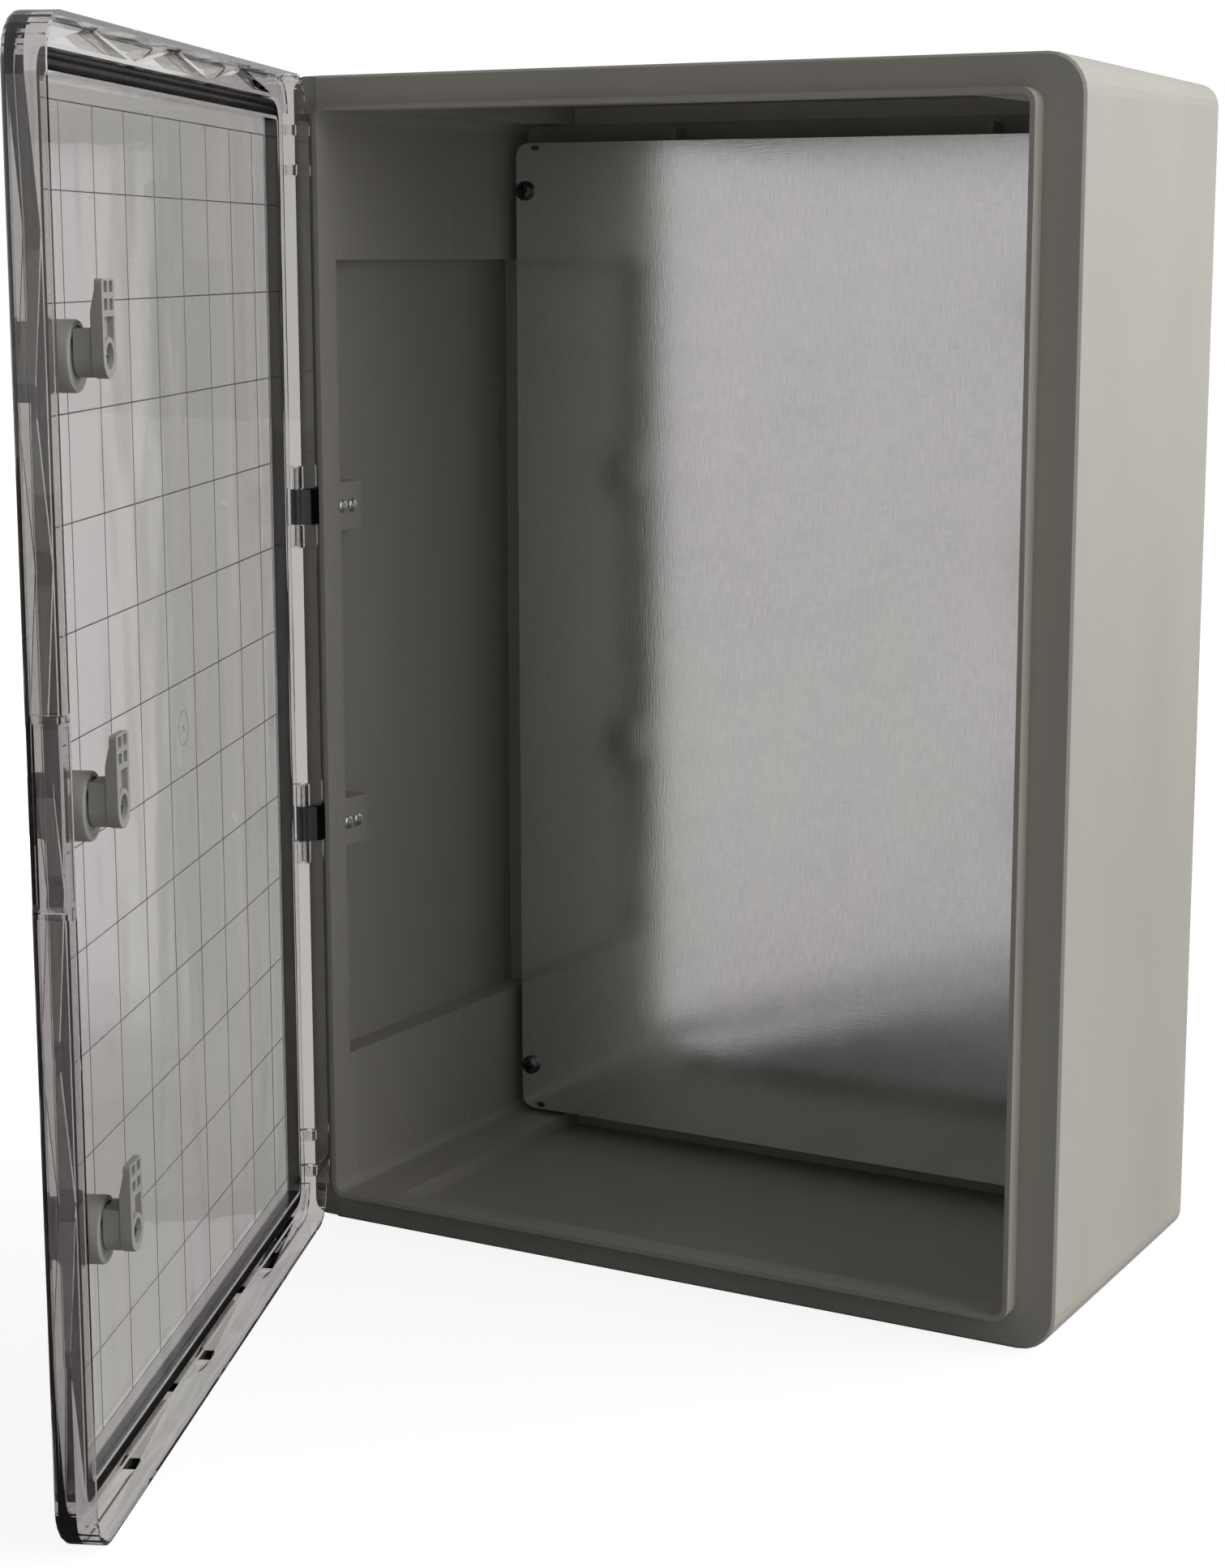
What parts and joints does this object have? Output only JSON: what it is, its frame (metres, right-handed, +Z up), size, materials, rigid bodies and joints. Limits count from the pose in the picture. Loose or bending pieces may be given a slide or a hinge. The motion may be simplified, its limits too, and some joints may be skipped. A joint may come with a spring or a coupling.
{
  "type": "fire alarm control panel enclosure",
  "caption": "Wall-mounted control panel housing in grey plastic with a clear hinged door on the left, quarter-turn latches, a seal in the door and a steel mounting plate inside.",
  "frame": {"origin": "centre of the cabinet's flat rear face, on the wall", "axes": "+Y into the wall, +X to the right seen from the front, +Z up; the front faces -Y and the door hinges on the -X side"},
  "size_m": [0.5063, 0.6945, 0.7],
  "materials": {
    "cabinet_plastic": "fine-grained satin grey moulding",
    "door_plastic": "clear smoke-tinted moulding",
    "seal_rubber": "matt black foam seal",
    "latch_plastic": "satin grey moulding",
    "zinc_steel": "galvanised",
    "dark_steel": "dark passivated"
  },
  "bodies": {
    "cabinet": {"cabinet_body": "cabinet_plastic", "mounting_plate": "zinc_steel", "plate_screw_left_top": "dark_steel", "plate_screw_left_bottom": "dark_steel", "plate_screw_right_top": "dark_steel", "plate_screw_right_bottom": "dark_steel", "hinge_bracket_upper": "latch_plastic", "hinge_bracket_lower": "latch_plastic", "hinge_pin_upper": "zinc_steel", "hinge_pin_lower": "zinc_steel", "hinge_screw_upper_front": "zinc_steel", "hinge_screw_upper_rear": "zinc_steel", "hinge_screw_lower_front": "zinc_steel", "hinge_screw_lower_rear": "zinc_steel"},
    "door": {"door_shell": "door_plastic", "door_gasket": "seal_rubber", "latch_cup_top": "latch_plastic", "latch_cup_middle": "latch_plastic", "latch_cup_bottom": "latch_plastic", "latch_seal_top": "seal_rubber", "latch_seal_middle": "seal_rubber", "latch_seal_bottom": "seal_rubber"},
    "latch_top": {"latch_knob_top": "latch_plastic", "latch_cam_top": "latch_plastic", "latch_screw_top": "zinc_steel"},
    "latch_middle": {"latch_knob_middle": "latch_plastic", "latch_cam_middle": "latch_plastic", "latch_screw_middle": "zinc_steel"},
    "latch_bottom": {"latch_knob_bottom": "latch_plastic", "latch_cam_bottom": "latch_plastic", "latch_screw_bottom": "zinc_steel"}
  },
  "joints": [
    {"name": "door_hinge", "type": "hinge", "parent": "cabinet", "child": "door", "pos_m": [-0.2445, -0.2377, 0], "axis": [0, 0, 1], "range_deg": [-53.5, 66.5]},
    {"name": "latch_turn_top", "type": "hinge", "parent": "door", "child": "latch_top", "pos_m": [-0.07045, -0.638, 0.2015], "axis": [0.9171, 0.3987, 0], "range_deg": [0, 90]},
    {"name": "latch_turn_middle", "type": "hinge", "parent": "door", "child": "latch_middle", "pos_m": [-0.07045, -0.638, -0.0045], "axis": [0.9171, 0.3987, 0], "range_deg": [0, 90]},
    {"name": "latch_turn_bottom", "type": "hinge", "parent": "door", "child": "latch_bottom", "pos_m": [-0.07045, -0.638, -0.209], "axis": [0.9171, 0.3987, 0], "range_deg": [0, 90]}
  ]
}
